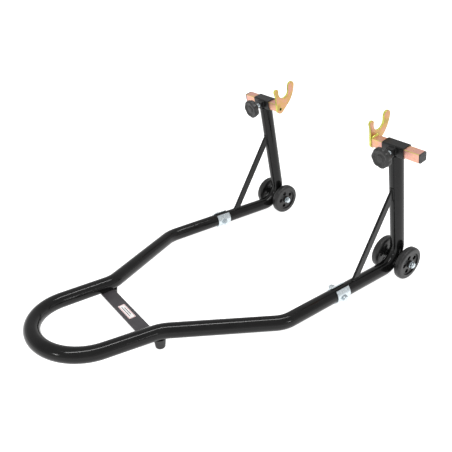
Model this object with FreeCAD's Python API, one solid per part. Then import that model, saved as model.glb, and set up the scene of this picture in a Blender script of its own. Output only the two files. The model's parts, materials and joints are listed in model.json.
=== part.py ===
"""Rear paddock stand for motorcycles: bent tube frame, four wheels and two sliding lifting hooks.

Units are millimetres.  +X runs from the handle loop to the wheels, +Z is up, and the origin is on
the ground in the middle of the stand.  "right" is -Y.  Both halves mirror each other about the XZ
plane, apart from the tilt of the joint bolts.
"""
import FreeCAD, Part
import math
import os

V = FreeCAD.Vector

# --- driving dimensions -------------------------------------------------------------------------
TUBE_OD = 32.0
TUBE_WALL = 2.0

AXLE_X = 382.5
WHEEL_DIA = 80.0
WHEEL_HALF_WIDTH = 9.0
WHEEL_OFFSET = 33.0

HANDLE_SLOPE = 0.08
LEG_SPREAD = math.radians(3.5)
HANDLE_TIP_X = -(AXLE_X + WHEEL_DIA / 2)

FLARE_CORNER = V(-197.0, 104.5, 37.5)
WIDE_CORNER = V(22.0, 220.0, 24.0)
HEEL_CORNER = V(392.5, 213.5, 24.0)
HEAD_CENTRE = V(321.5, 207.5, 324.0)
FLARE_BEND = 75.0
WIDE_BEND = 75.0
HEEL_BEND = 46.0

JOINT_X = 184.0
SADDLE_LENGTH = 39.0
SADDLE_THICKNESS = 2.0
SADDLE_HALF_WRAP = 45.0
SADDLE_LIP = 8.0
SADDLE_TILT = {"right": 8.0, "left": 7.0}
SPIGOT_LENGTH = 96.0
SPIGOT_WALL = 2.5
SEAM_FROM_SADDLE_END = 2.0
SEAM_GAP = 0.2

BAR_SIZE = 20.0
BAR_CORNER = 1.2
BAR_OUTER_Y = 270.0
HOOK_Y = 149.0
HOOK_THICKNESS = 5.0
HOOK_HOLE_RADIUS = 3.6
NOTCH_RADIUS = 16.0
NOTCH_X = 6.0
NOTCH_Z = 38.5
CAP_THICKNESS = 3.0
CAP_CORNER = 2.2

SLEEVE_SIZE = 25.0
SLEEVE_BORE = 21.0
SLEEVE_LENGTH = 54.0
SLEEVE_CORNER = 3.0

STRUT_WIDTH = 17.0
STRUT_THICKNESS = 6.0
STRUT_CORNER = 1.2
STRUT_FOOT_X = 228.0
STRUT_HEAD_Z = 241.0

PLATE_FRONT_X = -232.0
PLATE_LENGTH = 30.0
PLATE_TOP_Z = 28.0
PLATE_THICKNESS = 4.0
PLATE_EDGE_ROUND = 0.8

FOOT_X = -202.0
FOOT_TOP_RADIUS = 12.5
FOOT_BOTTOM_RADIUS = 10.0
FOOT_RIM = 2.5
FOOT_PLATE_GAP = 0.5
FOOT_SCREW_SEAT = 8.0
SCREW_RADIUS = 2.0
SCREW_HEAD_RADIUS = 3.6
SCREW_HEAD_HEIGHT = 2.6
SCREW_SHANK = 20.0
SCREW_SLOT = 1.0

FIT = 0.05
THREAD_FIT = 0.02
HOLE_PLAY = 0.2
THREAD_END = 1.5

M8_RADIUS = 4.0
M8_HEX = 13.0
M8_NUT = 6.5
M8_HEAD = 4.8
WASHER_RADIUS = 8.0
WASHER_THICKNESS = 1.2
HUB_HALF_LENGTH = 10.5
HUB_END_GAP = 0.2
BUSH_RADIUS = 10.0
TYRE_DEPTH = 9.0
TYRE_SHOULDER = 5.0
TYRE_SHOULDER_WIDTH = 6.5
HUB_WINDOWS = 5
HUB_WINDOW_RADIUS = 5.5
HUB_WINDOW_CIRCLE = 18.6
HUB_BOSS_RADIUS = 9.0
HUB_WEB = 12.0
RIM_LIP = 3.0

STUD_RADIUS = 5.0
CLAMP_BOSS_DEPTH = 9.0
CLAMP_BOSS_SIZE = 18.0
CLAMP_BOSS_CORNER = 2.0
CLAMP_GAP = 0.4
KNOB_RADIUS = 23.0
KNOB_THICKNESS = 14.0
KNOB_BACK = 38.0
KNOB_NECK = 5.0
KNOB_NECK_RADIUS = 9.0
KNOB_LOBES = 7
KNOB_LOBE_RIM = 0.955
KNOB_HOLLOW = 0.915
KNOB_LOBE_SHARE = 0.62
STUD_GRIP = 10.0

SIDES = {"right": -1.0, "left": 1.0}

# --- values worked out from the driving dimensions ----------------------------------------------
TUBE_R = TUBE_OD / 2
BORE_R = TUBE_R - TUBE_WALL
WHEEL_R = WHEEL_DIA / 2
AXLE_Z = WHEEL_R
TYRE_BORE = WHEEL_R - TYRE_DEPTH


def mirrored(point, side):
    return V(point.x, point.y * SIDES[side], point.z)


def unit(vector):
    return vector * (1.0 / vector.Length)


def lerp(a, b, t):
    return a + (b - a) * t


def at_x(a, b, x):
    """Point of the line a-b at a given x."""
    return lerp(a, b, (x - a.x) / (b.x - a.x))


# --- wires and basic solids ---------------------------------------------------------------------
def bend_points(before, corner, after, radius):
    """Start, middle and end of the bend that rounds a corner."""
    back = unit(before - corner)
    ahead = unit(after - corner)
    half = back.getAngle(ahead) / 2
    tangent = radius / math.tan(half)
    bisector = unit(back + ahead)
    reach = radius / math.sin(half) - radius
    return corner + back * tangent, corner + bisector * reach, corner + ahead * tangent


def path_wire(points, radii):
    """Straight runs through the points, rounded at each inner corner."""
    edges = []
    here = points[0]
    for i, radius in enumerate(radii, start=1):
        start, middle, end = bend_points(points[i - 1], points[i], points[i + 1], radius)
        if (start - here).Length > 0.001:
            edges.append(Part.makeLine(here, start))
        edges.append(Part.Arc(start, middle, end).toShape())
        here = end
    edges.append(Part.makeLine(here, points[-1]))
    return Part.Wire(edges)


def pipe(wire, radius, start, direction):
    ring = Part.Wire([Part.makeCircle(radius, start, direction)])
    return wire.makePipeShell([ring], True, False)


def bent_tube(points, radii, outer, inner):
    wire = path_wire(points, radii)
    direction = points[1] - points[0]
    skin = pipe(wire, outer, points[0], direction)
    return skin.cut(pipe(wire, inner, points[0], direction))


def solid_bent(points, radii, radius):
    return pipe(path_wire(points, radii), radius, points[0], points[1] - points[0])


def rod(a, b, radius):
    return Part.makeCylinder(radius, (b - a).Length, a, b - a)


def tube(a, b, outer, inner):
    return rod(a, b, outer).cut(rod(a, b, inner))


def frame_at(origin, x_axis, z_axis):
    """Placement with the given local X and Z directions."""
    z = unit(z_axis)
    x = unit(x_axis - z * x_axis.dot(z))
    y = z.cross(x)
    matrix = FreeCAD.Matrix(x.x, y.x, z.x, origin.x, x.y, y.y, z.y, origin.y,
                            x.z, y.z, z.z, origin.z, 0, 0, 0, 1)
    return FreeCAD.Placement(matrix)


def placed(shape, placement):
    moved = shape.copy()
    moved.Placement = placement.multiply(moved.Placement)
    return moved


def hexagon(across_flats, height):
    """Hexagonal prism on Z with its top corners turned down to a circle."""
    reach = across_flats / math.sqrt(3)
    corners = [V(reach * math.cos(k * math.pi / 3), reach * math.sin(k * math.pi / 3), 0)
               for k in range(7)]
    prism = Part.Face(Part.makePolygon(corners)).extrude(V(0, 0, height))
    return prism.common(turned_down(reach, across_flats, height))


def turned_down(reach, across_flats, height):
    flat = across_flats / 2
    drop = (reach - flat) * 0.9
    points = [V(0, 0, 0), V(reach + 1, 0, 0), V(reach + 1, 0, height - 2 * drop),
              V(flat * 0.95, 0, height), V(0, 0, height), V(0, 0, 0)]
    return Part.Face(Part.makePolygon(points)).revolve(V(0, 0, 0), V(0, 0, 1), 360)


def slab(half_x, half_y, low_z, high_z, corner):
    """Rectangular bar along Z with rounded long edges."""
    box = Part.makeBox(2 * half_x, 2 * half_y, high_z - low_z, V(-half_x, -half_y, low_z))
    if corner <= 0:
        return box
    along = [e for e in box.Edges if abs(e.tangentAt(e.FirstParameter).z) > 0.9]
    return box.makeFillet(corner, along)


# --- frame geometry -----------------------------------------------------------------------------
def handle_corner():
    """Corner where a leg's line meets the line of the handle's front run."""
    run = FLARE_CORNER.x - HANDLE_TIP_X - TUBE_R
    return V(FLARE_CORNER.x - run, FLARE_CORNER.y - run * math.tan(LEG_SPREAD),
             FLARE_CORNER.z + run * HANDLE_SLOPE)


def handle_bend():
    """Radius at which the two handle bends meet each other in one arc."""
    corner = handle_corner()
    to_leg = FLARE_CORNER - corner
    half = to_leg.getAngle(V(0, -1, 0)) / 2
    return corner.y * math.tan(half)


def low_run(side):
    """Both ends of the straight low run, wide corner to heel corner."""
    return mirrored(WIDE_CORNER, side), mirrored(HEEL_CORNER, side)


def along_low(side, x):
    return at_x(*low_run(side), x)


def head_up(side):
    """Direction of the upright, from heel to head."""
    return unit(mirrored(HEAD_CENTRE, side) - mirrored(HEEL_CORNER, side))


def clamp_out(side):
    """Direction in which the clamp screw comes out: square to the upright, towards the handle."""
    up = head_up(side)
    return unit(V(-up.z, 0, up.x))


def head_frame(side):
    """Local X along the bar and local Z out along the clamp screw."""
    return frame_at(mirrored(HEAD_CENTRE, side), V(0, 1, 0), clamp_out(side))


def seam_x():
    """Distance along the stand at which the front frame meets the side frames."""
    return JOINT_X + SADDLE_LENGTH / 2 - SEAM_FROM_SADDLE_END


# --- sub-parts: frame ---------------------------------------------------------------------------
def front_frame_tube():
    seam = seam_x()
    half = [along_low("left", seam), WIDE_CORNER, FLARE_CORNER, handle_corner()]
    other = [V(p.x, -p.y, p.z) for p in reversed(half)]
    radii = [WIDE_BEND, FLARE_BEND, handle_bend()]
    shape = bent_tube(half + other, radii + radii[::-1], TUBE_R, BORE_R)
    for side in SIDES:
        shape = shape.cut(joint_hole(side))
        shape = shape.cut(Part.makeCylinder(SCREW_RADIUS + FIT, PLATE_TOP_Z, foot_centre(side)))
    return shape


def side_frame_tube(side):
    seam = along_low(side, seam_x() + SEAM_GAP)
    heel = mirrored(HEEL_CORNER, side)
    head = mirrored(HEAD_CENTRE, side)
    shape = bent_tube([seam, heel, head], [HEEL_BEND], TUBE_R, BORE_R)
    return shape.cut(axle_bush_blank(side)).cut(above_sleeve_floor(side))


def above_sleeve_floor(side):
    """Block over the sleeve's lower face, where the upright ends."""
    reach = 3 * TUBE_OD
    block = Part.makeBox(reach, reach, reach, V(-reach / 2, SLEEVE_SIZE / 2 - reach, -reach / 2))
    return placed(block, head_frame(side))


def strut(side):
    """Flat bar from the low run up to the front of the upright, cut to both tubes."""
    foot = along_low(side, STRUT_FOOT_X)
    heel = mirrored(HEEL_CORNER, side)
    head_line = mirrored(HEAD_CENTRE, side)
    head = lerp(heel, head_line, (STRUT_HEAD_Z - heel.z) / (head_line.z - heel.z))
    place = frame_at(foot, V(0, 1, 0), head - foot)
    bar = slab(STRUT_THICKNESS / 2, STRUT_WIDTH / 2, 0, (head - foot).Length, STRUT_CORNER)
    bar = placed(bar, place)
    low = rod(along_low(side, JOINT_X), heel, TUBE_R)
    return bar.cut(low).cut(rod(heel, head_line, TUBE_R))


def cross_plate():
    """Flat plate between the legs, its ends coped round the tubes."""
    low = PLATE_TOP_Z - PLATE_THICKNESS
    blank = Part.makeBox(PLATE_LENGTH, 2 * FLARE_CORNER.y, PLATE_THICKNESS,
                         V(PLATE_FRONT_X, -FLARE_CORNER.y, low))
    long_edges = [e for e in blank.Edges if abs(e.tangentAt(e.FirstParameter).y) > 0.9]
    blank = blank.makeFillet(PLATE_EDGE_ROUND, long_edges)
    for side in SIDES:
        blank = blank.cut(leg_core(side))
    middle = [s for s in blank.Solids if abs(s.CenterOfMass.y) < 10]
    return middle[0]


def leg_core(side):
    """Solid bar along one leg of the handle, used to cope what meets it."""
    points = [mirrored(p, side) for p in (WIDE_CORNER, FLARE_CORNER, handle_corner())]
    return solid_bent(points, [FLARE_BEND], TUBE_R)


def foot_centre(side):
    leg = lerp(FLARE_CORNER, handle_corner(),
               (FLARE_CORNER.x - FOOT_X) / (FLARE_CORNER.x - handle_corner().x))
    return mirrored(V(FOOT_X, leg.y, 0), side)


def foot(side):
    """Tapered rubber buffer with a rounded rim, its top shaped to the tube."""
    height = PLATE_TOP_Z - PLATE_THICKNESS - FOOT_PLATE_GAP
    centre = foot_centre(side)
    rim = FOOT_RIM
    profile = [Part.makeLine(V(0, 0, 0), V(FOOT_BOTTOM_RADIUS - rim, 0, 0)),
               Part.Arc(V(FOOT_BOTTOM_RADIUS - rim, 0, 0),
                        V(FOOT_BOTTOM_RADIUS - rim * 0.24, 0, rim * 0.34),
                        V(FOOT_BOTTOM_RADIUS, 0, rim)).toShape(),
               Part.makeLine(V(FOOT_BOTTOM_RADIUS, 0, rim), V(FOOT_TOP_RADIUS, 0, height)),
               Part.makeLine(V(FOOT_TOP_RADIUS, 0, height), V(0, 0, height)),
               Part.makeLine(V(0, 0, height), V(0, 0, 0))]
    body = Part.Face(Part.Wire(profile)).revolve(V(0, 0, 0), V(0, 0, 1), 360)
    body.translate(centre)
    body = body.cut(leg_core(side)).cut(screw_space(side))
    return max(body.Solids, key=lambda s: s.Volume)


def screw_space(side):
    """Recess for the foot screw's head and the clearance hole above it."""
    centre = foot_centre(side)
    recess = Part.makeCylinder(SCREW_HEAD_RADIUS + HOLE_PLAY, FOOT_SCREW_SEAT, centre)
    return recess.fuse(Part.makeCylinder(SCREW_RADIUS + FIT, TUBE_OD, centre))


def foot_screw(side):
    """Slotted pan-head screw that holds the foot to the tube."""
    centre = foot_centre(side)
    height = SCREW_HEAD_HEIGHT
    low = FOOT_SCREW_SEAT - height
    head = Part.makeCylinder(SCREW_HEAD_RADIUS, height)
    head = head.makeFillet(1.0, [head.Edges[2]])
    slot = Part.makeBox(2 * SCREW_HEAD_RADIUS, SCREW_SLOT, SCREW_SLOT,
                        V(-SCREW_HEAD_RADIUS, -SCREW_SLOT / 2, 0))
    shank = Part.makeCylinder(SCREW_RADIUS, SCREW_SHANK, V(0, 0, height))
    screw = head.fuse(shank).removeSplitter().cut(slot)
    screw.translate(centre + V(0, 0, low))
    return screw


# --- sub-parts: bolted joint --------------------------------------------------------------------
def joint_frame(side):
    """At the bolt: local X along the tube, local Z along the bolt towards the outside."""
    origin = along_low(side, JOINT_X)
    low, heel = low_run(side)
    tilt = math.radians(SADDLE_TILT[side])
    along = unit(heel - low)
    outward = V(0, SIDES[side] * math.cos(tilt), SIDES[side] * math.sin(tilt))
    return frame_at(origin, along, outward - along * outward.dot(along))


def joint_hole(side):
    hole = Part.makeCylinder(M8_RADIUS + HOLE_PLAY, 2 * TUBE_OD, V(0, 0, -TUBE_OD))
    return placed(hole, joint_frame(side))


def joint_spigot(side):
    middle = along_low(side, seam_x())
    low, heel = low_run(side)
    reach = unit(heel - low) * (SPIGOT_LENGTH / 2)
    outer = BORE_R - FIT
    shape = tube(middle - reach, middle + reach, outer, outer - SPIGOT_WALL)
    return shape.cut(joint_hole(side))


def saddle_side(radius):
    """Section points from the crown outwards: end of the round stretch, then end of the lip."""
    wrap = math.radians(SADDLE_HALF_WRAP)
    turn = (radius * math.sin(wrap), radius * math.cos(wrap))
    lip = (turn[0] + SADDLE_LIP * math.cos(wrap), turn[1] - SADDLE_LIP * math.sin(wrap))
    return turn, lip


def saddle(side, facing):
    """Bowed plate with straight lips against the tube, on its outer (+1) or inner (-1) side."""
    start = -SADDLE_LENGTH / 2
    inner = TUBE_R + FIT
    outer = TUBE_R + SADDLE_THICKNESS
    turn_in, lip_in = saddle_side(inner)
    turn_out, lip_out = saddle_side(outer)

    def at(point, way=1):
        return V(start, way * point[0], point[1])

    outline = [Part.makeLine(at(lip_in, -1), at(turn_in, -1)),
               Part.Arc(at(turn_in, -1), at((0, inner)), at(turn_in)).toShape(),
               Part.makeLine(at(turn_in), at(lip_in)),
               Part.makeLine(at(lip_in), at(lip_out)),
               Part.makeLine(at(lip_out), at(turn_out)),
               Part.Arc(at(turn_out), at((0, outer)), at(turn_out, -1)).toShape(),
               Part.makeLine(at(turn_out, -1), at(lip_out, -1)),
               Part.makeLine(at(lip_out, -1), at(lip_in, -1))]
    plate = Part.Face(Part.Wire(outline)).extrude(V(SADDLE_LENGTH, 0, 0))
    plate = plate.cut(Part.makeCylinder(M8_RADIUS + HOLE_PLAY, TUBE_OD))
    if facing < 0:
        plate = plate.rotate(V(0, 0, 0), V(1, 0, 0), 180)
    return placed(plate, joint_frame(side))


def joint_seat():
    """Height on the bolt's axis at which the washers rest."""
    return TUBE_R + SADDLE_THICKNESS


def joint_washer(side, facing):
    """Flat washer on the crown of a saddle."""
    ring = tube(V(0, 0, joint_seat()), V(0, 0, joint_seat() + WASHER_THICKNESS),
                WASHER_RADIUS, M8_RADIUS + HOLE_PLAY)
    if facing < 0:
        ring = ring.rotate(V(0, 0, 0), V(1, 0, 0), 180)
    return placed(ring, joint_frame(side))


def joint_bolt(side):
    """Hex bolt through saddles and tubes, its head on the outside."""
    seat = joint_seat() + WASHER_THICKNESS
    head = hexagon(M8_HEX, M8_HEAD)
    head.translate(V(0, 0, seat))
    tip = seat + M8_NUT + THREAD_END
    shank = Part.makeCylinder(M8_RADIUS, seat + tip, V(0, 0, -tip))
    return placed(head.fuse(shank), joint_frame(side))


def lock_nut():
    """Hex nut with the round collar of a nylon insert, standing on Z."""
    collar = Part.makeCylinder(M8_HEX / 2 - 0.5, M8_NUT)
    body = hexagon(M8_HEX, M8_NUT * 0.75).fuse(collar).removeSplitter()
    return body.cut(Part.makeCylinder(M8_RADIUS + THREAD_FIT, 3 * M8_NUT, V(0, 0, -M8_NUT)))


def joint_nut(side):
    nut = lock_nut()
    nut.rotate(V(0, 0, 0), V(1, 0, 0), 180)
    nut.translate(V(0, 0, -joint_seat() - WASHER_THICKNESS))
    return placed(nut, joint_frame(side))


# --- sub-parts: wheels --------------------------------------------------------------------------
def axle_centre(side):
    heel = mirrored(HEEL_CORNER, side)
    head = mirrored(HEAD_CENTRE, side)
    y = (heel.y + lerp(heel, head, (AXLE_Z - heel.z) / (head.z - heel.z)).y) / 2
    return V(AXLE_X, round(y, 1), AXLE_Z)


def axle_bush_half():
    return WHEEL_OFFSET - HUB_HALF_LENGTH - WASHER_THICKNESS


def axle_bush_blank(side):
    half = V(0, axle_bush_half(), 0)
    return rod(axle_centre(side) - half, axle_centre(side) + half, BUSH_RADIUS)


def axle_bush(side):
    """Spacer tube welded through the heel bend."""
    reach = V(0, axle_bush_half() + 1, 0)
    return axle_bush_blank(side).cut(rod(axle_centre(side) - reach, axle_centre(side) + reach,
                                         M8_RADIUS + FIT))


def axle_reach():
    return WHEEL_OFFSET + HUB_HALF_LENGTH + WASHER_THICKNESS


def axle(side):
    """Threaded rod through bush and both wheels."""
    half = V(0, axle_reach() + M8_NUT + THREAD_END, 0)
    pin = rod(axle_centre(side) - half, axle_centre(side) + half, M8_RADIUS)
    return pin.makeChamfer(0.6, [e for e in pin.Edges if e.BoundBox.YLength < 0.01])


def axle_nuts(side):
    nuts = []
    for way in (-1, 1):
        place = frame_at(axle_centre(side) + V(0, way * axle_reach(), 0), V(1, 0, 0), V(0, way, 0))
        nuts.append(placed(lock_nut(), place))
    return Part.makeCompound(nuts)


def axle_washers(side):
    """Washers on both faces of each hub."""
    rings = []
    for way in (-1, 1):
        for start in (axle_bush_half(), WHEEL_OFFSET + HUB_HALF_LENGTH):
            low = axle_centre(side) + V(0, way * start, 0)
            high = low + V(0, way * WASHER_THICKNESS, 0)
            rings.append(tube(low, high, WASHER_RADIUS, M8_RADIUS + HOLE_PLAY))
    return Part.makeCompound(rings)


def wheel_centre(side, way):
    return axle_centre(side) + V(0, way * WHEEL_OFFSET, 0)


def tyre(side, way):
    """Solid tyre with rounded shoulders."""
    half = WHEEL_HALF_WIDTH
    shoulder = TYRE_SHOULDER
    crown = WHEEL_R
    flat = half - TYRE_SHOULDER_WIDTH
    bulge = half - TYRE_SHOULDER_WIDTH / 3
    edges = [Part.makeLine(V(TYRE_BORE, 0, -half), V(crown - shoulder, 0, -half)),
             Part.Arc(V(crown - shoulder, 0, -half), V(crown - shoulder * 0.25, 0, -bulge),
                      V(crown, 0, -flat)).toShape(),
             Part.makeLine(V(crown, 0, -flat), V(crown, 0, flat)),
             Part.Arc(V(crown, 0, flat), V(crown - shoulder * 0.25, 0, bulge),
                      V(crown - shoulder, 0, half)).toShape(),
             Part.makeLine(V(crown - shoulder, 0, half), V(TYRE_BORE, 0, half)),
             Part.makeLine(V(TYRE_BORE, 0, half), V(TYRE_BORE, 0, -half))]
    ring = Part.Face(Part.Wire(edges)).revolve(V(0, 0, 0), V(0, 0, 1), 360)
    return placed(ring, frame_at(wheel_centre(side, way), V(1, 0, 0), V(0, 1, 0)))


def hub(side, way):
    """Moulded wheel centre: rim ring, recessed web with round windows and a long boss."""
    half = WHEEL_HALF_WIDTH
    rim = Part.makeCylinder(TYRE_BORE - FIT, 2 * half, V(0, 0, -half))
    rim = rim.cut(Part.makeCylinder(TYRE_BORE - RIM_LIP, 2 * half, V(0, 0, -half)))
    web = Part.makeCylinder(TYRE_BORE - RIM_LIP / 2, HUB_WEB, V(0, 0, -HUB_WEB / 2))
    reach = HUB_HALF_LENGTH - HUB_END_GAP
    boss = Part.makeCylinder(HUB_BOSS_RADIUS, 2 * reach, V(0, 0, -reach))
    body = rim.fuse(web).fuse(boss)
    for k in range(HUB_WINDOWS):
        angle = 2 * math.pi * (k + 0.5) / HUB_WINDOWS
        spot = polar(HUB_WINDOW_CIRCLE, angle) - V(0, 0, half)
        body = body.cut(Part.makeCylinder(HUB_WINDOW_RADIUS, 2 * half, spot))
    body = body.cut(Part.makeCylinder(M8_RADIUS + FIT, 4 * half, V(0, 0, -2 * half)))
    return placed(body.removeSplitter(), frame_at(wheel_centre(side, way), V(1, 0, 0), V(0, 1, 0)))


# --- sub-parts: head, bar and hook --------------------------------------------------------------
def in_head(shape, side):
    return placed(shape, head_frame(side))


def along_bar(half, length, corner):
    """Square bar on local X, centred, with rounded long edges."""
    bar = slab(half, half, -length / 2, length / 2, corner)
    bar.rotate(V(0, 0, 0), V(0, 1, 0), 90)
    return bar


def top_sleeve(side):
    """Short square tube across the upright's top, drilled for the clamp screw."""
    shape = along_bar(SLEEVE_SIZE / 2, SLEEVE_LENGTH, SLEEVE_CORNER)
    shape = shape.cut(along_bar(SLEEVE_BORE / 2, SLEEVE_LENGTH + 2, 1.0))
    shape = shape.cut(Part.makeCylinder(STUD_RADIUS + HOLE_PLAY, SLEEVE_SIZE))
    return in_head(shape, side)


def clamp_boss(side):
    """Threaded boss welded to the sleeve's front face."""
    low = SLEEVE_SIZE / 2
    half = CLAMP_BOSS_SIZE / 2
    boss = slab(half, half, low, low + CLAMP_BOSS_DEPTH, CLAMP_BOSS_CORNER)
    return in_head(boss.cut(Part.makeCylinder(STUD_RADIUS + FIT, 4 * low)), side)


def clamp_stud(side):
    """Clamp screw from the bar's face into the knob."""
    start = BAR_SIZE / 2 + CLAMP_GAP
    length = KNOB_BACK - KNOB_NECK + STUD_GRIP - start
    stud = Part.makeCylinder(STUD_RADIUS, length, V(0, 0, start))
    return in_head(stud.makeChamfer(0.8, [stud.Edges[0], stud.Edges[2]]), side)


def knob_outline():
    """Lobed outline: shallow hollows between broad round lobes."""
    lobe = math.pi / KNOB_LOBES
    edges = []
    for k in range(KNOB_LOBES):
        middle = 2 * k * lobe
        rim = KNOB_RADIUS * KNOB_LOBE_RIM
        start = polar(rim, middle - KNOB_LOBE_SHARE * lobe)
        end = polar(rim, middle + KNOB_LOBE_SHARE * lobe)
        edges.append(Part.Arc(start, polar(KNOB_RADIUS, middle), end).toShape())
        following = polar(rim, middle + (2 - KNOB_LOBE_SHARE) * lobe)
        hollow = polar(KNOB_RADIUS * KNOB_HOLLOW, middle + lobe)
        edges.append(Part.Arc(end, hollow, following).toShape())
    return Part.Wire(edges)


def polar(radius, angle):
    return V(radius * math.cos(angle), radius * math.sin(angle), 0)


def clamp_knob(side):
    """Hand knob with a short neck at its back, blind-bored for the stud's end."""
    disc = Part.Face(knob_outline()).extrude(V(0, 0, KNOB_THICKNESS))
    disc.translate(V(0, 0, KNOB_BACK))
    base = KNOB_BACK - KNOB_NECK
    neck = Part.makeCylinder(KNOB_NECK_RADIUS, KNOB_NECK, V(0, 0, base))
    socket = Part.makeCylinder(STUD_RADIUS + FIT, STUD_GRIP + CLAMP_GAP, V(0, 0, base))
    body = disc.fuse(neck).removeSplitter().cut(socket)
    return in_head(body, side)


def local_y(side, y):
    """Bar coordinate of a distance from the middle plane."""
    return SIDES[side] * (y - HEAD_CENTRE.y)


def lift_bar(side):
    """Square bar that slides through the sleeve, from hook to end cap."""
    inner = local_y(side, HOOK_Y + HOOK_THICKNESS / 2)
    outer = local_y(side, BAR_OUTER_Y)
    bar = along_bar(BAR_SIZE / 2, abs(outer - inner), BAR_CORNER)
    bar.translate(V((inner + outer) / 2, 0, 0))
    return in_head(bar, side)


def bar_cap(side):
    """Plastic cap on the bar's outer end."""
    start = local_y(side, BAR_OUTER_Y)
    end = local_y(side, BAR_OUTER_Y + CAP_THICKNESS)
    cap = along_bar(BAR_SIZE / 2, CAP_THICKNESS, CAP_CORNER)
    cap.translate(V((start + end) / 2, 0, 0))
    return in_head(cap, side)


def notch_point(angle):
    """Point of the round seat for the spool, about the bar's axis."""
    turn = math.radians(angle)
    return (NOTCH_X + NOTCH_RADIUS * math.cos(turn), NOTCH_Z + NOTCH_RADIUS * math.sin(turn))


def hook_outline():
    """Outline in the XZ plane about the bar's axis: round foot, short front arm, tall rear arm."""
    def arc(a, b, c):
        return Part.Arc(V(a[0], 0, a[1]), V(b[0], 0, b[1]), V(c[0], 0, c[1])).toShape()

    def line(a, b):
        return Part.makeLine(V(a[0], 0, a[1]), V(b[0], 0, b[1]))

    foot_left = (-11.0, -5.0)
    foot_right = (9.3, -10.9)
    waist = (-15.0, 12.0)
    short_out, short_tip, short_in = (-23.0, 38.0), (-17.2, 46.0), notch_point(172.0)
    notch_end = notch_point(20.0)
    tall_in, tall_tip, tall_out = (21.0, 50.0), (31.0, 60.0), (40.0, 50.0)
    back = (28.0, 9.5)
    return Part.Wire([line(foot_left, waist),
                      arc(waist, (-17.6, 25.5), short_out),
                      arc(short_out, short_tip, short_in),
                      arc(short_in, notch_point(-84.0), notch_end),
                      arc(notch_end, (20.8, 47.0), tall_in),
                      arc(tall_in, tall_tip, tall_out),
                      arc(tall_out, (37.2, 28.6), back),
                      line(back, foot_right),
                      arc(foot_right, (0.0, -16.0), foot_left)])


def hook(side):
    """Flat hook plate welded to the bar's inner end."""
    plate = Part.Face(hook_outline()).extrude(V(0, HOOK_THICKNESS, 0))
    hole = rod(V(0, -1, -5), V(0, HOOK_THICKNESS + 1, -5), HOOK_HOLE_RADIUS)
    plate = plate.cut(hole)
    middle = mirrored(V(HEAD_CENTRE.x, HOOK_Y, HEAD_CENTRE.z), side)
    plate.translate(middle - V(0, HOOK_THICKNESS / 2, 0))
    return plate


# --- the whole stand ----------------------------------------------------------------------------
def nodes():
    parts = {"front_frame_tube": front_frame_tube(), "cross_plate": cross_plate()}
    parts["foot_screws"] = Part.makeCompound([foot_screw(side) for side in SIDES])
    for side in SIDES:
        makers = {"foot": foot, "side_frame_tube": side_frame_tube, "strut": strut,
                  "joint_spigot": joint_spigot, "joint_bolt": joint_bolt, "joint_nut": joint_nut,
                  "axle_bush": axle_bush, "axle": axle, "axle_nuts": axle_nuts,
                  "axle_washers": axle_washers, "top_sleeve": top_sleeve,
                  "clamp_boss": clamp_boss, "clamp_stud": clamp_stud,
                  "clamp_knob": clamp_knob, "lift_bar": lift_bar, "bar_cap": bar_cap,
                  "hook": hook}
        for name, make in makers.items():
            parts[f"{name}_{side}"] = make(side)
        parts[f"joint_washers_{side}"] = Part.makeCompound(
            [joint_washer(side, 1), joint_washer(side, -1)])
        for facing, word in ((1, "outer"), (-1, "inner")):
            way = facing * SIDES[side]
            parts[f"saddle_{word}_{side}"] = saddle(side, facing)
            parts[f"tyre_{word}_{side}"] = tyre(side, way)
            parts[f"hub_{word}_{side}"] = hub(side, way)
    return parts


def main():
    os.makedirs("parts", exist_ok=True)
    for name, shape in nodes().items():
        shape.exportStep(f"parts/{name}.step")
        solids = len(shape.Solids)
        box = shape.optimalBoundingBox()
        print(f"{name:22s} valid {shape.isValid()} solids {solids} volume {shape.Volume:9.0f} "
              f"x {box.XMin:.1f} {box.XMax:.1f} y {box.YMin:.1f} {box.YMax:.1f} "
              f"z {box.ZMin:.1f} {box.ZMax:.1f}")


main()
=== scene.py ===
import json
import math
import random

import bmesh
import bpy
from mathutils import Matrix, Vector


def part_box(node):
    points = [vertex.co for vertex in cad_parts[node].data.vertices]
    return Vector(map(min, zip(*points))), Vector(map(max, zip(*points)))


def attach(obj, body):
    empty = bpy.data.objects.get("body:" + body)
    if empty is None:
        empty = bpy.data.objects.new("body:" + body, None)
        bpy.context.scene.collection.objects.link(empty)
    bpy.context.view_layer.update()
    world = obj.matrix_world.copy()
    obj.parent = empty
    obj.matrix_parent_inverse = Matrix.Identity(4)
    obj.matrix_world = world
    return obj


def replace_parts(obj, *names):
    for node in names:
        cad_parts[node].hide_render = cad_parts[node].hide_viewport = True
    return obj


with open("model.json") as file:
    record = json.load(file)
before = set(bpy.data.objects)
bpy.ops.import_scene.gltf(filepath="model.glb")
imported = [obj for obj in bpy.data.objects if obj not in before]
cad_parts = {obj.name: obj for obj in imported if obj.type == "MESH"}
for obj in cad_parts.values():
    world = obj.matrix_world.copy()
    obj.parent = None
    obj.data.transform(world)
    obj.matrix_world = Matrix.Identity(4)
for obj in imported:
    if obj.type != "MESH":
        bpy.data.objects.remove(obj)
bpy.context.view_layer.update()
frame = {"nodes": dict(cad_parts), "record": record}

MM = 0.001
SIDES = {"right": -1.0, "left": 1.0}

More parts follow.
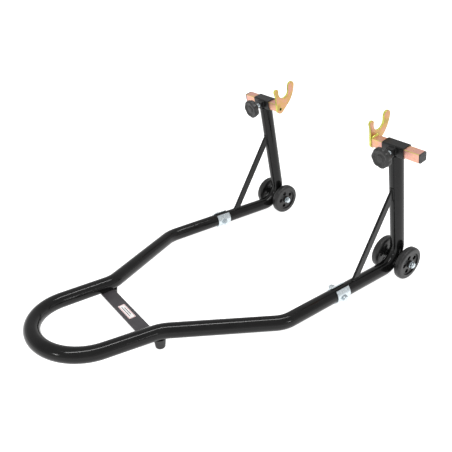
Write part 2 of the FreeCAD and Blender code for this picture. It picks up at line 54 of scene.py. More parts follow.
# --- driving dimensions, in millimetres, as in the CAD model ------------------------------------
TUBE_R = 16.0
TUBE_WALL = 2.0
HANDLE_TIP_X = -422.5
HANDLE_SLOPE = 0.08
LEG_SPREAD = math.radians(3.5)
FLARE_CORNER = Vector((-197.0, 104.5, 37.5))
WIDE_CORNER = Vector((22.0, 220.0, 24.0))
HEEL_CORNER = Vector((392.5, 213.5, 24.0))
HEAD_CENTRE = Vector((321.5, 207.5, 324.0))
FLARE_BEND = 75.0
WIDE_BEND = 75.0
HEEL_BEND = 46.0
SEAM_X = 201.5
SEAM_GAP = 0.2
SLEEVE_SIZE = 25.0
BAR_SIZE = 20.0
BOSS_SIZE = 18.0
PLATE_TOP_Z = 28.0
PLATE_X = (-232.0, -202.0)
HOOK_Y = 149.0
HOOK_THICKNESS = 5.0
HOOK_HOLE = (0.0, -5.0)
HOOK_HOLE_RADIUS = 3.6
STUD_BASE = 10.4
STUD_END = 43.0
STUD_RADIUS = 5.0
STUD_PITCH = 1.5
KNOB_BACK = 38.0
KNOB_NECK = 5.0
KNOB_THICKNESS = 14.0
KNOB_RADIUS = 23.0
KNOB_LOBES = 7
KNOB_LOBE_SHARE = 0.085
KNOB_BORE = 5.1
STRUT_FOOT_X = 228.0
STRUT_HEAD_Z = 241.0
STRUT_WIDTH = 17.0
STRUT_THICKNESS = 6.0
BUSH_WELD_OFFSET = 15.2
BUSH_WELD_RADIUS = 10.2
SLEEVE_WELD_INSET = 1.5
BEAD = {"strut": 1.7, "sleeve": 1.9, "boss": 1.2, "plate": 1.6, "bush": 1.6,
        "hook_top": 2.7, "hook_flank": 1.6}

# --- finer detail, in millimetres ---------------------------------------------------------------
TUBE_SEGMENTS = 96
LONGEST_TUBE_STEP = 25.0
WELD_STEP = 0.45
WELD_RIPPLE = 2.1
WELD_SEGMENTS = 16
HOOK_EDGE = 0.6
# size of the dark disc of painted shade in the hook's hole
SHADE_DISC_RADIUS = 3.55
SHADE_DISC_THICKNESS = 0.8
LABEL_THICKNESS = 0.1
SOFT_EDGE = 0.5
SEED = 7

rng = random.Random(SEED)


# --- small geometry helpers ---------------------------------------------------------------------
def mirrored(point, side):
    """A point given for the left side, on the asked side."""
    return Vector((point.x, point.y * SIDES[side], point.z))


def frame_at(origin, x_axis, z_axis):
    """Matrix with the given local X and Z directions; origin in millimetres."""
    z = Vector(z_axis).normalized()
    x = Vector(x_axis)
    x = (x - z * x.dot(z)).normalized()
    y = z.cross(x)
    return Matrix(((x.x, y.x, z.x, origin[0]), (x.y, y.y, z.y, origin[1]),
                   (x.z, y.z, z.z, origin[2]), (0, 0, 0, 1)))


def at_x(a, b, x):
    """Point of the line a-b at the given x."""
    return a.lerp(b, (x - a.x) / (b.x - a.x))


def handle_corner():
    """Corner between the left leg and the handle's cross run."""
    run = FLARE_CORNER.x - HANDLE_TIP_X - TUBE_R
    return Vector((FLARE_CORNER.x - run, FLARE_CORNER.y - run * math.tan(LEG_SPREAD),
                   FLARE_CORNER.z + run * HANDLE_SLOPE))


def handle_bend():
    """Bend radius that makes the handle's two corners meet in the middle."""
    corner = handle_corner()
    half = (FLARE_CORNER - corner).angle(Vector((0, -1, 0))) / 2
    return corner.y * math.tan(half)


def head_up(side):
    """Direction of the leaning upright."""
    return (mirrored(HEAD_CENTRE, side) - mirrored(HEEL_CORNER, side)).normalized()


def clamp_out(side):
    """Direction of the clamp screw, away from the sleeve's front face."""
    up = head_up(side)
    return Vector((-up.z, 0, up.x)).normalized()


def head_frame(side):
    """Local X across the stand along the bar, local Z out along the clamp screw."""
    return frame_at(mirrored(HEAD_CENTRE, side), (0, 1, 0), clamp_out(side))


def along_low(side, x):
    """Point of the rear run's axis at the given x."""
    return at_x(mirrored(WIDE_CORNER, side), mirrored(HEEL_CORNER, side), x)


def rounded_path(points, radii, step=math.radians(3)):
    """Points along straight runs joined by round bends."""
    path = [points[0].copy()]
    for i, radius in enumerate(radii, start=1):
        corner = points[i]
        back = (points[i - 1] - corner).normalized()
        ahead = (points[i + 1] - corner).normalized()
        half = back.angle(ahead) / 2
        start = corner + back * (radius / math.tan(half))
        centre = corner + (back + ahead).normalized() * (radius / math.sin(half))
        turn = math.pi - 2 * half
        axis = (-back).cross(ahead).normalized()
        count = max(2, round(turn / step))
        for k in range(count + 1):
            spin = Matrix.Rotation(turn * k / count, 3, axis)
            point = centre + spin @ (start - centre)
            if (point - path[-1]).length > 0.05:
                path.append(point)
    if (points[-1] - path[-1]).length > 0.05:
        path.append(points[-1].copy())
    return path


def densified(path, longest):
    """The same line with no run longer than the given length."""
    dense = [path[0]]
    for a, b in zip(path, path[1:]):
        count = max(1, math.ceil((b - a).length / longest))
        dense += [a.lerp(b, k / count) for k in range(1, count + 1)]
    return dense


# --- making objects -----------------------------------------------------------------------------
def make_object(name, verts, faces, material, body):
    """Smooth-shaded mesh from points in millimetres, riding a body."""
    mesh = bpy.data.meshes.new(name)
    mesh.from_pydata([Vector(v) * MM for v in verts], [], faces)
    bm = bmesh.new()
    bm.from_mesh(mesh)
    bmesh.ops.recalc_face_normals(bm, faces=bm.faces)
    bm.to_mesh(mesh)
    bm.free()
    for polygon in mesh.polygons:
        polygon.use_smooth = True
    obj = bpy.data.objects.new(name, mesh)
    bpy.context.scene.collection.objects.link(obj)
    obj.data.materials.append(material)
    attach(obj, body)
    return obj


def sharpen(obj, angle=35):
    """Smooth shading that keeps edges sharper than the angle crisp."""
    mesh = obj.data
    bm = bmesh.new()
    bm.from_mesh(mesh)
    limit = math.radians(angle)
    for edge in bm.edges:
        edge.smooth = not (edge.is_manifold and edge.calc_face_angle(0) > limit)
    bm.to_mesh(mesh)
    bm.free()
    return obj


def rings_to_mesh(rings, closed=False):
    """Quads between equal rings of points; an open row is capped at both ends."""
    count = len(rings[0])
    verts = [p for ring in rings for p in ring]
    faces = []
    pairs = len(rings) if closed else len(rings) - 1
    for i in range(pairs):
        here, there = i * count, (i + 1) % len(rings) * count
        for j in range(count):
            k = (j + 1) % count
            faces.append((here + j, here + k, there + k, there + j))
    if not closed:
        faces.append(tuple(range(count))[::-1])
        faces.append(tuple(range((len(rings) - 1) * count, len(rings) * count)))
    return verts, faces


def sweep_rings(path, radius, segments, closed=False):
    """Circles along a path; radius is a number or a function of the arc length and index."""
    rings = []
    count = len(path)
    direction = (path[1] - path[0]).normalized()
    side = direction.orthogonal().normalized()
    length = 0.0
    for i, point in enumerate(path):
        if closed:
            tangent = (path[(i + 1) % count] - path[i - 1]).normalized()
        else:
            tangent = (path[min(i + 1, count - 1)] - path[max(i - 1, 0)]).normalized()
        side = (side - tangent * side.dot(tangent)).normalized()
        other = tangent.cross(side)
        if i:
            length += (point - path[i - 1]).length
        r = radius(length, i) if callable(radius) else radius
        rings.append([point + (side * math.cos(a) + other * math.sin(a)) * r
                      for a in (2 * math.pi * j / segments for j in range(segments))])
    return rings


def lathe_rings(profile, segments, place):
    """Revolves (radius, height) points about local Z; segments rings of profile points."""
    rings = []
    for j in range(segments):
        a = 2 * math.pi * j / segments
        rings.append([place @ Vector((r * math.cos(a), r * math.sin(a), z)) for r, z in profile])
    return rings


def lathe(name, profile, segments, place, material, body):
    """Solid of revolution; the profile runs from one end to the other, or closes on itself."""
    closed_profile = profile[0] == profile[-1]
    points = profile[:-1] if closed_profile else profile
    rings = lathe_rings(points, segments, place)
    count = len(points)
    verts = [p for ring in rings for p in ring]
    faces = []
    spans = count if closed_profile else count - 1
    for j in range(segments):
        here, there = j * count, (j + 1) % segments * count
        for i in range(spans):
            k = (i + 1) % count
            faces.append((here + i, here + k, there + k, there + i))
    if not closed_profile:
        faces.append(tuple(j * count for j in range(segments)))
        faces.append(tuple(j * count + count - 1 for j in range(segments))[::-1])
    return sharpen(make_object(name, verts, faces, material, body))


def arc_points(centre, radius, start, end, steps):
    """Points of a round stretch, in a plane; angles in degrees."""
    points = []
    for k in range(steps + 1):
        a = math.radians(start + (end - start) * k / steps)
        points.append((centre[0] + radius * math.cos(a), centre[1] + radius * math.sin(a)))
    return points


def arc_through(a, b, c, steps):
    """Points from a to c on the circle through b, without a itself."""
    ax, ay, bx, by, cx, cy = *a, *b, *c
    d = 2 * (ax * (by - cy) + bx * (cy - ay) + cx * (ay - by))
    sa, sb, sc = ax * ax + ay * ay, bx * bx + by * by, cx * cx + cy * cy
    ux = (sa * (by - cy) + sb * (cy - ay) + sc * (ay - by)) / d
    uy = (sa * (cx - bx) + sb * (ax - cx) + sc * (bx - ax)) / d
    radius = math.hypot(ax - ux, ay - uy)
    start = math.atan2(ay - uy, ax - ux)
    middle = (math.atan2(by - uy, bx - ux) - start) % (2 * math.pi)
    turn = (math.atan2(cy - uy, cx - ux) - start) % (2 * math.pi)
    if middle > turn:
        turn -= 2 * math.pi
    return [(ux + radius * math.cos(start + turn * k / steps),
             uy + radius * math.sin(start + turn * k / steps)) for k in range(1, steps + 1)]


# --- materials ----------------------------------------------------------------------------------
class Shader:
    """A principled material under construction."""

    def __init__(self, name, metallic=0.0, roughness=0.5, coat=0.0, coat_roughness=0.05,
                 specular=0.5):
        self.material = bpy.data.materials.new(name)
        self.material.use_nodes = True
        self.nodes = self.material.node_tree.nodes
        self.links = self.material.node_tree.links
        self.bsdf = self.nodes["Principled BSDF"]
        self.bsdf.inputs["Metallic"].default_value = metallic
        self.bsdf.inputs["Roughness"].default_value = roughness
        self.bsdf.inputs["Coat Weight"].default_value = coat
        self.bsdf.inputs["Coat Roughness"].default_value = coat_roughness
        self.bsdf.inputs["Specular IOR Level"].default_value = specular
        self.place = self.nodes.new("ShaderNodeTexCoord").outputs["Object"]

    def noise(self, scale, detail=3.0, roughness=0.55, distortion=0.0):
        node = self.nodes.new("ShaderNodeTexNoise")
        node.inputs["Scale"].default_value = scale
        node.inputs["Detail"].default_value = detail
        node.inputs["Roughness"].default_value = roughness
        node.inputs["Distortion"].default_value = distortion
        self.links.new(self.place, node.inputs["Vector"])
        return node.outputs["Fac"]

    def ramp(self, value, stops):
        node = self.nodes.new("ShaderNodeValToRGB")
        ramp = node.color_ramp
        while len(ramp.elements) < len(stops):
            ramp.elements.new(0.5)
        for element, (position, colour) in zip(ramp.elements, stops):
            element.position = position
            element.color = (*colour, 1.0)
        self.links.new(value, node.inputs["Fac"])
        return node.outputs["Color"]

    def spread(self, value, low, high, start=0.3, end=0.7):
        node = self.nodes.new("ShaderNodeMapRange")
        node.inputs["From Min"].default_value = start
        node.inputs["From Max"].default_value = end
        node.inputs["To Min"].default_value = low
        node.inputs["To Max"].default_value = high
        self.links.new(value, node.inputs["Value"])
        return node.outputs["Result"]

    def colour(self, output):
        self.links.new(output, self.bsdf.inputs["Base Color"])

    def roughness(self, output):
        self.links.new(output, self.bsdf.inputs["Roughness"])

    def bump(self, height, strength, distance):
        node = self.nodes.new("ShaderNodeBump")
        node.inputs["Strength"].default_value = strength
        node.inputs["Distance"].default_value = distance
        self.links.new(height, node.inputs["Height"])
        self.links.new(node.outputs["Normal"], self.bsdf.inputs["Normal"])


def paint(name, dark, light, roughness, coat, peel, specular):
    """Powder coat: faint colour drift, orange peel and uneven gloss."""
    shader = Shader(name, roughness=roughness, coat=coat, coat_roughness=0.06, specular=specular)
    shader.colour(shader.ramp(shader.noise(35.0, 4.0), [(0.35, dark), (0.65, light)]))
    shader.roughness(shader.spread(shader.noise(60.0, 3.0), roughness * 0.8, roughness * 1.25))
    shader.bump(shader.noise(700.0, 2.0), peel, 0.0004)
    return shader.material


def zinc(name, dark, light, roughness):
    """Bright zinc plating: mottled crystal tone and fine scratches."""
    shader = Shader(name, metallic=1.0, roughness=roughness)
    shader.colour(shader.ramp(shader.noise(260.0, 5.0, 0.6), [(0.3, dark), (0.7, light)]))
    shader.roughness(shader.spread(shader.noise(420.0, 4.0), roughness * 0.7, roughness * 1.4))
    shader.bump(shader.noise(900.0, 3.0), 0.08, 0.0003)
    return shader.material


def passivated(name, stops, roughness, metallic):
    """Yellow chromate over zinc: cloudy drift between pink, gold and green."""
    shader = Shader(name, metallic=metallic, roughness=roughness)
    shader.colour(shader.ramp(shader.noise(48.0, 3.0, 0.5, 0.6), stops))
    shader.roughness(shader.spread(shader.noise(300.0, 4.0), roughness * 0.8, roughness * 1.3))
    shader.bump(shader.noise(850.0, 3.0), 0.1, 0.0003)
    return shader.material


def moulded(name, dark, light, roughness, grain, depth):
    """Moulded plastic or rubber: fine grain and a slightly chalky bloom."""
    shader = Shader(name, roughness=roughness)
    shader.colour(shader.ramp(shader.noise(120.0, 4.0), [(0.3, dark), (0.7, light)]))
    shader.roughness(shader.spread(shader.noise(200.0, 3.0), roughness * 0.85, roughness * 1.2))
    shader.bump(shader.noise(grain, 3.0), depth, 0.0004)
    return shader.material


def grey(value):
    """Neutral colour of the given level."""
    return (value, value, value)


def make_materials():
    """Every material by its slot name, plus those that only visual pieces wear."""
    pink, gold, brown = (0.56, 0.29, 0.21), (0.54, 0.32, 0.12), (0.38, 0.29, 0.08)
    rose, peach, orange = (0.68, 0.35, 0.30), (0.71, 0.38, 0.29), (0.77, 0.43, 0.21)
    olive, lime = (0.40, 0.38, 0.05), (0.66, 0.68, 0.12)
    hook_tones = [(0.34, pink), (0.52, gold), (0.68, brown)]
    bar_tones = [(0.34, rose), (0.52, peach), (0.72, orange)]
    charcoal, ash = (0.036, 0.033, 0.037), (0.052, 0.048, 0.053)
    return {
        "gloss_black": paint("gloss_black", grey(0.0035), grey(0.006), 0.13, 0.10, 0.006, 0.20),
        "satin_black": paint("satin_black", grey(0.006), grey(0.010), 0.34, 0.05, 0.08, 0.30),
        "charcoal_plate": paint("charcoal_plate", charcoal, ash, 0.42, 0.0, 0.16, 0.50),
        "bright_zinc": zinc("bright_zinc", (0.50, 0.56, 0.59), (0.72, 0.78, 0.81), 0.30),
        "plain_steel": zinc("plain_steel", (0.30, 0.30, 0.31), (0.45, 0.45, 0.46), 0.35),
        "yellow_zinc": passivated("yellow_zinc", hook_tones, 0.34, 0.75),
        "bar_zinc": passivated("bar_zinc", bar_tones, 0.32, 0.75),
        "yellow_zinc_edge": passivated("yellow_zinc_edge", [(0.3, olive), (0.7, lime)], 0.36, 0.4),
        "black_plastic": moulded("black_plastic", grey(0.007), grey(0.012), 0.46, 900.0, 0.10),
        "hub_plastic": moulded("hub_plastic", grey(0.006), grey(0.011), 0.40, 900.0, 0.08),
        "tyre_rubber": moulded("tyre_rubber", grey(0.004), grey(0.008), 0.42, 600.0, 0.08),
        "foot_rubber": moulded("foot_rubber", grey(0.006), grey(0.012), 0.55, 500.0, 0.15),
    }


MATERIALS = make_materials()


# --- frame tubes --------------------------------------------------------------------------------
def open_tube(name, path, node):
    """Hollow tube: outer skin, inner wall and both cut ends."""
    dense = densified(path, LONGEST_TUBE_STEP)
    outer = sweep_rings(dense, TUBE_R, TUBE_SEGMENTS)
    inner = sweep_rings(dense, TUBE_R - TUBE_WALL, TUBE_SEGMENTS)
    verts, faces = rings_to_mesh(outer + inner[::-1], closed=True)
    obj = make_object(name, verts, faces, MATERIALS["gloss_black"], "frame")
    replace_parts(sharpen(obj, 50), node)


def front_tube():
    """Handle loop, legs, flares and the first stretch of both rear runs, in one tube."""
    half = [along_low("left", SEAM_X), WIDE_CORNER, FLARE_CORNER, handle_corner()]
    other = [Vector((p.x, -p.y, p.z)) for p in reversed(half)]
    radii = [WIDE_BEND, FLARE_BEND, handle_bend()]
    path = rounded_path(half + other, radii + radii[::-1])
    open_tube("front_tube", path, "front_frame_tube")


def side_tube(side):
    """Rear run, heel bend and upright of one side."""
    top = mirrored(HEAD_CENTRE, side) - head_up(side) * (SLEEVE_SIZE / 2)
    corners = [along_low(side, SEAM_X + SEAM_GAP), mirrored(HEEL_CORNER, side), top]
    path = rounded_path(corners, [HEEL_BEND])
    open_tube(f"side_tube_{side}", path, f"side_frame_tube_{side}")


# --- weld beads ---------------------------------------------------------------------------------
def weld(name, path, radius, look, body="frame", closed=False):
    """Lumpy bead along a line, with puddle ripples; the look names its material, and the bead
    rides the frame unless a body is given.
    """
    dense = densified(path + path[:1] if closed else path, WELD_STEP)
    if closed:
        dense = dense[:-1]
    phase = rng.random() * 6.28
    wobble = [1 + 0.05 * (rng.random() - 0.5) for _ in dense]

    def bead(length, i):
        ripple = 0.5 + 0.5 * math.sin(length * 2 * math.pi / WELD_RIPPLE + phase)
        return radius * (0.88 + 0.16 * ripple ** 0.6) * wobble[i]

    rings = sweep_rings(dense, bead, WELD_SEGMENTS, closed)
    verts, faces = rings_to_mesh(rings, closed)
    make_object(name, verts, faces, MATERIALS[look], body)


def circle_path(place, radius, steps=72):
    """Points of a full circle about local Z."""
    points = []
    for k in range(steps):
        a = math.radians(360.0 * k / steps)
        points.append(place @ Vector((radius * math.cos(a), radius * math.sin(a), 0)))
    return points


def side_points(corners, shares):
    """Points at the given shares of each side of a closed outline."""
    return [(x0 + (x1 - x0) * t, y0 + (y1 - y0) * t)
            for (x0, y0), (x1, y1) in zip(corners, corners[1:] + corners[:1]) for t in shares]


def meet_tube(point, direction, a, b, radius):
    """Where a ray meets the skin of the tube a-b."""
    axis = (b - a).normalized()
    flat = point - a - axis * (point - a).dot(axis)
    way = direction - axis * direction.dot(axis)
    qa, qb, qc = way.dot(way), 2 * flat.dot(way), flat.dot(flat) - radius * radius
    root = math.sqrt(max(0.0, qb * qb - 4 * qa * qc))
    return point + direction * ((-qb - root) / (2 * qa))


def strut_welds(side):
    """Beads round both ends of the brace."""
    foot = along_low(side, STRUT_FOOT_X)
    heel, head = mirrored(HEEL_CORNER, side), mirrored(HEAD_CENTRE, side)
    top = heel.lerp(head, (STRUT_HEAD_Z - heel.z) / (head.z - heel.z))
    place = frame_at(foot, (0, 1, 0), top - foot)
    x, y = STRUT_THICKNESS / 2, STRUT_WIDTH / 2
    corners = [(-x, -y), (x, -y), (x, y), (-x, y)]
    along = (top - foot).normalized()
    middle = foot.lerp(top, 0.5)
    seam = along_low(side, SEAM_X)
    turn = place.to_3x3()
    for word, way, a, b in (("foot", -along, seam, heel), ("head", along, heel, head)):
        loop = [meet_tube(middle + turn @ Vector((*point, 0)), way, a, b, TUBE_R)
                for point in side_points(corners, [k / 8 for k in range(8)])]
        weld(f"weld_strut_{word}_{side}", loop, BEAD["strut"], "gloss_black", closed=True)


def sleeve_weld(side):
    """Bead that closes the upright's end against the sleeve."""
    place = head_frame(side) @ Matrix.Translation((0, SLEEVE_SIZE / 2 + 0.4, 0))
    place = place @ Matrix.Rotation(math.pi / 2, 4, "X")
    ring = circle_path(place, TUBE_R - SLEEVE_WELD_INSET)
    weld(f"weld_sleeve_{side}", ring, BEAD["sleeve"], "gloss_black", closed=True)


def boss_weld(side):
    """Bead round the threaded boss, on the sleeve's front face."""
    half = BOSS_SIZE / 2
    corners = [(-half, -half), (half, -half), (half, half), (-half, half)]
    place = head_frame(side) @ Matrix.Translation((0, 0, SLEEVE_SIZE / 2))
    loop = [place @ Vector((*point, 0))
            for point in side_points(corners, [k / 9 for k in range(1, 9)])]
    weld(f"weld_boss_{side}", loop, BEAD["boss"], "satin_black", closed=True)


def plate_weld(side):
    """Bead along the cross plate's coped end, on top."""
    line = []
    for k in range(13):
        x = PLATE_X[0] + 1.5 + (PLATE_X[1] - PLATE_X[0] - 3) * k / 12
        leg = at_x(FLARE_CORNER, handle_corner(), x)
        drop = leg.z - PLATE_TOP_Z
        y = leg.y - math.sqrt(TUBE_R ** 2 - drop ** 2)
        line.append(mirrored(Vector((x, y, PLATE_TOP_Z)), side))
    weld(f"weld_plate_{side}", line, BEAD["plate"], "gloss_black")


def bush_welds(side):
    """Ring beads where the axle bush leaves the heel bend."""
    low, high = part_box(f"axle_bush_{side}")
    centre = (low + high) / 2 / MM
    for word, way in (("inner", -1), ("outer", 1)):
        y = centre.y + way * SIDES[side] * BUSH_WELD_OFFSET
        place = frame_at((centre.x, y, centre.z), (1, 0, 0), (0, 1, 0))
        ring = circle_path(place, BUSH_WELD_RADIUS)
        weld(f"weld_bush_{word}_{side}", ring, BEAD["bush"], "gloss_black", closed=True)


def hook_weld(side):
    """Plated bead between bar and hook: fat on top, thinner down both flanks."""
    x = -SIDES[side] * (HEAD_CENTRE.y - HOOK_Y - HOOK_THICKNESS / 2)
    half = BAR_SIZE / 2
    place = head_frame(side)
    top = [place @ Vector((x, -half, z)) for z in (-half + 1, 0, half - 1)]
    weld(f"weld_hook_top_{side}", top, BEAD["hook_top"], "yellow_zinc_edge", f"hook_bar_{side}")
    for word, z in (("front", half), ("rear", -half)):
        line = [place @ Vector((x, y, z)) for y in (-half + 1, 0, half - 1)]
        weld(f"weld_hook_{word}_{side}", line, BEAD["hook_flank"], "yellow_zinc",
             f"hook_bar_{side}")


# --- hooks --------------------------------------------------------------------------------------
def straight(a, b, steps):
    """Points from a to b on a straight line, without a itself."""
    return [(a[0] + (b[0] - a[0]) * k / steps, a[1] + (b[1] - a[1]) * k / steps)
            for k in range(1, steps + 1)]


def hook_outline():
    """Outline about the bar's axis: round foot, short front arm, round notch, tall rear arm."""
    foot_left, foot_right, waist = (-11.0, -5.0), (9.3, -10.9), (-15.0, 12.0)
    short_out, short_tip = (-23.0, 38.0), (-17.2, 46.0)
    tall_in, tall_tip, tall_out, back = (21.0, 50.0), (31.0, 60.0), (40.0, 50.0), (28.0, 9.5)
    notch = arc_points((6.0, 38.5), 16.0, 172.0, 380.0, 44)
    outline = [foot_left]
    outline += straight(foot_left, waist, 4)
    outline += arc_through(waist, (-17.6, 25.5), short_out, 8)
    outline += arc_through(short_out, short_tip, notch[0], 16)
    outline += notch[1:]
    outline += arc_through(notch[-1], (20.8, 47.0), tall_in, 5)
    outline += arc_through(tall_in, tall_tip, tall_out, 24)
    outline += arc_through(tall_out, (37.2, 28.6), back, 18)
    outline += straight(back, foot_right, 5)
    outline += arc_through(foot_right, (0.0, -16.0), foot_left, 18)[:-1]
    return outline


def flat_curve(name, outlines, thickness, bevel, place):
    """Plate with softened edges, from closed outlines in its plane; later ones are holes."""
    curve = bpy.data.curves.new(name, "CURVE")
    curve.dimensions = "2D"
    curve.fill_mode = "BOTH"
    curve.extrude = (thickness / 2 - bevel) * MM
    curve.bevel_depth = bevel * MM
    curve.bevel_resolution = 2
    curve.offset = -bevel * MM
    for outline in outlines:
        spline = curve.splines.new("POLY")
        spline.points.add(len(outline) - 1)
        for point, (x, y) in zip(spline.points, outline):
            point.co = (x * MM, y * MM, 0, 1)
        spline.use_cyclic_u = True
    holder = bpy.data.objects.new(name + "_curve", curve)
    bpy.context.scene.collection.objects.link(holder)
    mesh = bpy.data.meshes.new_from_object(holder)
    bpy.data.objects.remove(holder)
    scaled = place.copy()
    scaled.translation = scaled.translation * MM
    mesh.transform(scaled)
    mesh.name = name
    return mesh


def hook(side):
    """Hook plate with its hole; the cut edges have their own, greener plating."""
    centre = mirrored(Vector((HEAD_CENTRE.x, HOOK_Y, HEAD_CENTRE.z)), side)
    place = Matrix(((1, 0, 0, centre.x), (0, 0, -1, centre.y), (0, 1, 0, centre.z), (0, 0, 0, 1)))
    hole = arc_points(HOOK_HOLE, HOOK_HOLE_RADIUS, 0.0, 360.0, 32)[:-1]
    mesh = flat_curve(f"hook_plate_{side}", [hook_outline(), hole], HOOK_THICKNESS, HOOK_EDGE,
                      place)
    obj = bpy.data.objects.new(f"hook_plate_{side}", mesh)
    bpy.context.scene.collection.objects.link(obj)
    mesh.materials.append(MATERIALS["yellow_zinc"])
    mesh.materials.append(MATERIALS["yellow_zinc_edge"])
    for polygon in mesh.polygons:
        polygon.material_index = 0 if abs(polygon.normal.y) > 0.93 else 1
        polygon.use_smooth = True
    bm = bmesh.new()
    bm.from_mesh(mesh)
    bmesh.ops.remove_doubles(bm, verts=bm.verts, dist=1e-6)
    bmesh.ops.recalc_face_normals(bm, faces=bm.faces)
    bm.to_mesh(mesh)
    bm.free()
    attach(obj, f"hook_bar_{side}")
    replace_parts(obj, f"hook_{side}")
    sharpen(obj, 30)


def bore_shade_disc(side):
    """Dark disc in the hook's hole: painted shade standing in for the shaded inside of the hollow
    square tube.
    """
    depth = HOOK_Y + HOOK_THICKNESS / 2 - 0.9
    centre = Vector((HEAD_CENTRE.x + HOOK_HOLE[0], depth, HEAD_CENTRE.z + HOOK_HOLE[1]))
    place = frame_at(mirrored(centre, side), (1, 0, 0), (0, SIDES[side], 0))
    disc = [(0.01, 0.0), (SHADE_DISC_RADIUS, 0.0), (SHADE_DISC_RADIUS, SHADE_DISC_THICKNESS),
            (0.01, SHADE_DISC_THICKNESS)]
    # the disc wears the dark hub plastic as painted shade
    lathe(f"bore_shade_disc_{side}", disc, 32, place, MATERIALS["hub_plastic"], f"hook_bar_{side}")


# --- knobs and studs ----------------------------------------------------------------------------
def knob_section(scale, height):
    """One lobed ring of the knob, as (x, y, z) points."""
    count = KNOB_LOBES * 16
    points = []
    for k in range(count):
        a = 2 * math.pi * k / count
        wave = 0.5 + 0.5 * math.cos(KNOB_LOBES * a)
        r = KNOB_RADIUS * (1 - KNOB_LOBE_SHARE + KNOB_LOBE_SHARE * wave ** 0.55) * scale
        points.append(Vector((r * math.cos(a), r * math.sin(a), height)))
    return points


def knob(side):
    """Lobed hand knob with rounded rims, a dished face and a raised centre cap."""
    place = head_frame(side)
    low, high = KNOB_BACK, KNOB_BACK + KNOB_THICKNESS
    profile = [(0.40, low), (0.86, low), (0.94, low + 0.7), (0.985, low + 2.2), (1.0, low + 4.5),
               (1.0, high - 5.0), (0.985, high - 2.6), (0.94, high - 0.9), (0.87, high - 0.1),
               (0.80, high), (0.72, high - 0.3), (0.66, high - 1.2), (0.60, high - 2.0),
               (0.42, high - 2.2), (0.39, high - 1.8), (0.36, high - 0.6), (0.30, high - 0.3)]
    rings = [[place @ p for p in knob_section(scale, z)] for scale, z in profile]
    verts, faces = rings_to_mesh(rings)
    obj = make_object(f"knob_{side}", verts, faces, MATERIALS["black_plastic"],
                      f"clamp_handle_{side}")
    sharpen(obj, 40)
    neck_base = KNOB_BACK - KNOB_NECK
    neck = [(KNOB_BORE, neck_base), (8.4, neck_base), (8.9, neck_base + 0.6),
            (9.0, neck_base + 3.5), (9.6, KNOB_BACK), (KNOB_BORE, KNOB_BACK),
            (KNOB_BORE, neck_base)]
    lathe(f"knob_neck_{side}", neck, 48, place, MATERIALS["black_plastic"],
          f"clamp_handle_{side}")
    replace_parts(obj, f"clamp_knob_{side}")


def threaded(name, place, low, high, radius, pitch, body, node):
    """Rod with a real thread: the crest runs round as a helix, fading at both ends."""
    segments, per_turn = 32, 8
    depth = 0.54 * pitch
    count = int((high - low) / pitch * per_turn)
    rings = []
    for i in range(count + 1):
        z = low + (high - low) * i / count
        fade = min(1.0, (z - low) / pitch, (high - z) / pitch)
        ring = []
        for j in range(segments):
            phase = (z / pitch - j / segments) % 1.0
            cut = abs(2 * phase - 1)
            r = radius - depth * (1 - cut) if fade > 0.99 else radius - depth * (1 - cut * fade)
            a = 2 * math.pi * j / segments
            ring.append(place @ Vector((r * math.cos(a), r * math.sin(a), z)))
        rings.append(ring)
    verts, faces = rings_to_mesh(rings)
    obj = make_object(name, verts, faces, MATERIALS["bright_zinc"], body)
    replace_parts(sharpen(obj, 60), node)


def stud(side):
    """Clamp screw, from the boss into the knob."""
    threaded(f"stud_{side}", head_frame(side), STUD_BASE, STUD_END, STUD_RADIUS, STUD_PITCH,
             f"clamp_screw_{side}", f"clamp_stud_{side}")


# --- sticker ------------------------------------------------------------------------------------
def sticker():
    """Plain label on the cross plate: white, with a thin outline and two rule lines."""
    white, red, grey_ink = (0.78, 0.77, 0.76), (0.55, 0.02, 0.03), (0.12, 0.12, 0.13)
    label_centre = Vector((sum(PLATE_X) / 2, 3.0, PLATE_TOP_Z))
    sheets = [("label", 7.5, 26.0, 0.10, white), ("label_outline", 6.7, 25.2, 0.14, red),
              ("label_field", 6.0, 24.5, 0.18, white)]
    for name, half_x, half_y, top, tone in sheets:
        label_sheet(name, half_x, half_y, label_centre, top, tone)
    for k, (x, reach) in enumerate(((-2.2, 19.0), (2.2, 14.0))):
        rule_centre = label_centre + Vector((x, 0, 0))
        label_sheet(f"label_rule_{k}", 0.9, reach, rule_centre, 0.22, grey_ink)


def label_sheet(name, half_x, half_y, centre, top, tone):
    """Rounded rectangle of one ink, its upper face the given height above the plate."""
    shader = Shader(name, roughness=0.42)
    light = tuple(min(1.0, c * 1.06) for c in tone)
    shader.colour(shader.ramp(shader.noise(400.0, 2.0), [(0.3, tone), (0.7, light)]))
    shader.roughness(shader.spread(shader.noise(300.0, 2.0), 0.36, 0.48))
    corner = min(1.5, half_x * 0.6)
    outline = []
    for sx, sy, start in ((1, 1, 0), (-1, 1, 90), (-1, -1, 180), (1, -1, 270)):
        middle = (sx * (half_x - corner), sy * (half_y - corner))
        outline += arc_points(middle, corner, start, start + 90, 6)
    place = Matrix.Translation(centre + Vector((0, 0, top - LABEL_THICKNESS / 2)))
    mesh = flat_curve(name, [outline], LABEL_THICKNESS, 0.02, place)
    obj = bpy.data.objects.new(name, mesh)
    bpy.context.scene.collection.objects.link(obj)
    mesh.materials.append(shader.material)
    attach(obj, "frame")


# --- CAD nodes that stay ------------------------------------------------------------------------
def dress_cad_nodes():
    """Gives every CAD node that stays its material and smooth shading."""
    slots = {part["node"]: part["material_slot"] for part in frame["record"]["subparts"]}
    for name, obj in frame["nodes"].items():
        obj.data.materials.clear()
        obj.data.materials.append(MATERIALS[slots[name]])
        if not obj.hide_render:
            soften_edges(obj)
    for side in SIDES:
        paint_bar(frame["nodes"][f"lift_bar_{side}"], side)


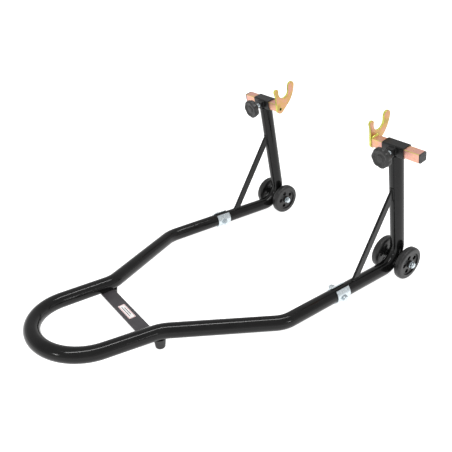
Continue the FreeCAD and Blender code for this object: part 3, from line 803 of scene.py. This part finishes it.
def paint_bar(obj, side):
    """Peach faces and lime rounded edges on a lifting bar."""
    obj.data.materials[0] = MATERIALS["bar_zinc"]
    obj.data.materials.append(MATERIALS["yellow_zinc_edge"])
    turn = head_frame(side).to_3x3().inverted() @ obj.matrix_world.to_3x3()
    for polygon in obj.data.polygons:
        normal = turn @ polygon.normal
        rounded = max(abs(c) for c in normal) < 0.97
        polygon.material_index = 1 if rounded else 0


def soften_edges(obj):
    """Smooth shading with small bevels along the hard edges."""
    for polygon in obj.data.polygons:
        polygon.use_smooth = True
    modifier = obj.modifiers.new("soft_edges", "BEVEL")
    modifier.width = SOFT_EDGE * MM
    modifier.segments = 2
    modifier.limit_method = "ANGLE"
    modifier.angle_limit = math.radians(40)
    modifier.harden_normals = False


# --- stage, light and camera --------------------------------------------------------------------
def floor():
    """Pale paper, partly self-lit so that it stays white under soft light."""
    mesh = bpy.data.meshes.new("floor")
    reach = 12.0
    corners = [(-reach, -reach, 0), (reach, -reach, 0), (reach, reach, 0), (-reach, reach, 0)]
    mesh.from_pydata(corners, [], [(0, 1, 2, 3)])
    obj = bpy.data.objects.new("floor", mesh)
    bpy.context.scene.collection.objects.link(obj)
    shader = Shader("floor_paper", roughness=0.9, specular=0.1)
    shader.bsdf.inputs["Base Color"].default_value = (0.55, 0.55, 0.55, 1)
    shader.bsdf.inputs["Emission Color"].default_value = (1, 1, 1, 1)
    shader.bsdf.inputs["Emission Strength"].default_value = 0.93
    mesh.materials.append(shader.material)


def area_light(name, place, target, size, power, size_y=None):
    """Square or oblong lamp aimed at a point, in metres and watts."""
    data = bpy.data.lights.new(name, "AREA")
    data.energy = power
    data.size = size
    if size_y:
        data.shape = "RECTANGLE"
        data.size_y = size_y
    obj = bpy.data.objects.new(name, data)
    bpy.context.scene.collection.objects.link(obj)
    obj.location = place
    obj.rotation_mode = "QUATERNION"
    obj.rotation_quaternion = (Vector(target) - Vector(place)).to_track_quat("-Z", "Y")


def lights():
    """Pale room, darker overhead, with one long strip above and two small lamps."""
    world = bpy.data.worlds.new("studio")
    world.use_nodes = True
    nodes, links = world.node_tree.nodes, world.node_tree.links
    heights = nodes.new("ShaderNodeSeparateXYZ")
    links.new(nodes.new("ShaderNodeTexCoord").outputs["Generated"], heights.inputs["Vector"])
    ramp = nodes.new("ShaderNodeValToRGB")
    for element, (height, level) in zip(ramp.color_ramp.elements, ((0.12, 0.97), (0.42, 0.66))):
        element.position = height
        element.color = (level, level, level, 1)
    links.new(heights.outputs["Z"], ramp.inputs["Fac"])
    links.new(ramp.outputs["Color"], nodes["Background"].inputs["Color"])
    bpy.context.scene.world = world
    area_light("overhead", (0, -0.3, 2.5), (0, -0.3, 0), 2.8, 40.0, 0.22)
    area_light("wall_left", (-2.6, -0.6, 1.2), (0, 0, 0.1), 0.3, 7.0)
    area_light("wall_right", (0.9, -2.8, 1.0), (0, 0, 0.1), 0.3, 5.0)


def camera():
    """The photograph's view, solved from the tube runs and the wheels."""
    azimuth, elevation = math.radians(-37.516), math.radians(31.216)
    distance, focal_px = 1.2227, 533.3
    photo_px, centre_px = 452, (234.74, 245.36)
    back = Vector((math.sin(azimuth) * math.cos(elevation),
                   -math.cos(azimuth) * math.cos(elevation), math.sin(elevation)))
    data = bpy.data.cameras.new("camera")
    data.sensor_width = 36.0
    data.lens = focal_px / photo_px * data.sensor_width
    data.shift_x = (photo_px / 2 - centre_px[0]) / photo_px
    data.shift_y = (centre_px[1] - photo_px / 2) / photo_px
    data.clip_start, data.clip_end = 0.05, 50.0
    obj = bpy.data.objects.new("camera", data)
    bpy.context.scene.collection.objects.link(obj)
    obj.location = Vector((0.06366, 0.0, 0.08637)) + back * distance
    obj.rotation_mode = "QUATERNION"
    obj.rotation_quaternion = (-back).to_track_quat("-Z", "Y")
    bpy.context.scene.camera = obj


def main():
    """Builds everything; the order of the welds fixes their random draws."""
    camera()
    lights()
    floor()
    front_tube()
    for side in SIDES:
        side_tube(side)
        strut_welds(side)
        sleeve_weld(side)
        boss_weld(side)
        plate_weld(side)
        bush_welds(side)
        hook_weld(side)
        hook(side)
        bore_shade_disc(side)
        knob(side)
        stud(side)
    sticker()
    dress_cad_nodes()
    bpy.context.scene.view_settings.view_transform = "Standard"


main()
